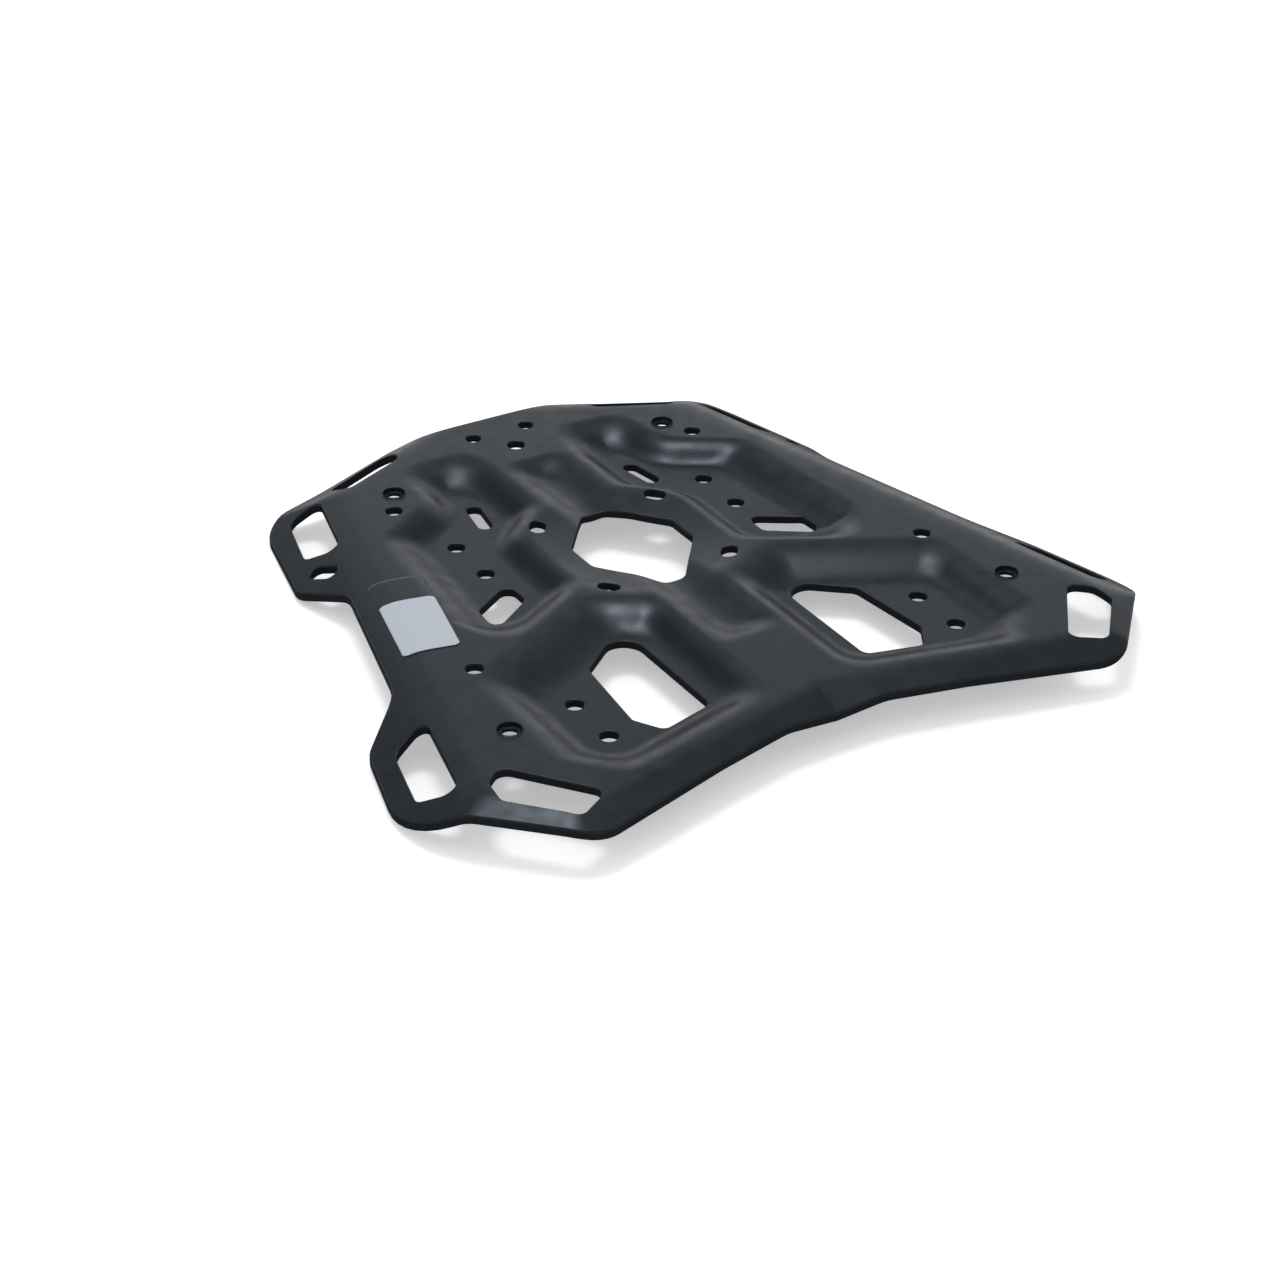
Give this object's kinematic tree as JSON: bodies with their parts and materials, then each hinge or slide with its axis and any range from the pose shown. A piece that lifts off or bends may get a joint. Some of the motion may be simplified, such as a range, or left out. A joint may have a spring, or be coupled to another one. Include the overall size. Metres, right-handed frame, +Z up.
{
  "type": "motorcycle luggage rack",
  "caption": "Pressed sheet luggage rack plate with sunk pockets, strap slots in its four ears and bolt holes for a carrier or case.",
  "frame": {"origin": "centre of the eight-sided middle opening, at the level of the flat rim", "axes": "+X to the rider's right, +Y to the front of the machine, +Z up, square to the flat rim"},
  "size_m": [0.3732, 0.3394, 0.0241],
  "materials": {
    "powder_coat": "satin black powder coat with a fine grain, over aluminium sheet",
    "film": "blank silver film with a clear border"
  },
  "bodies": {
    "root": {"rack_plate": "powder_coat", "film_panel": "film"}
  },
  "joints": []
}
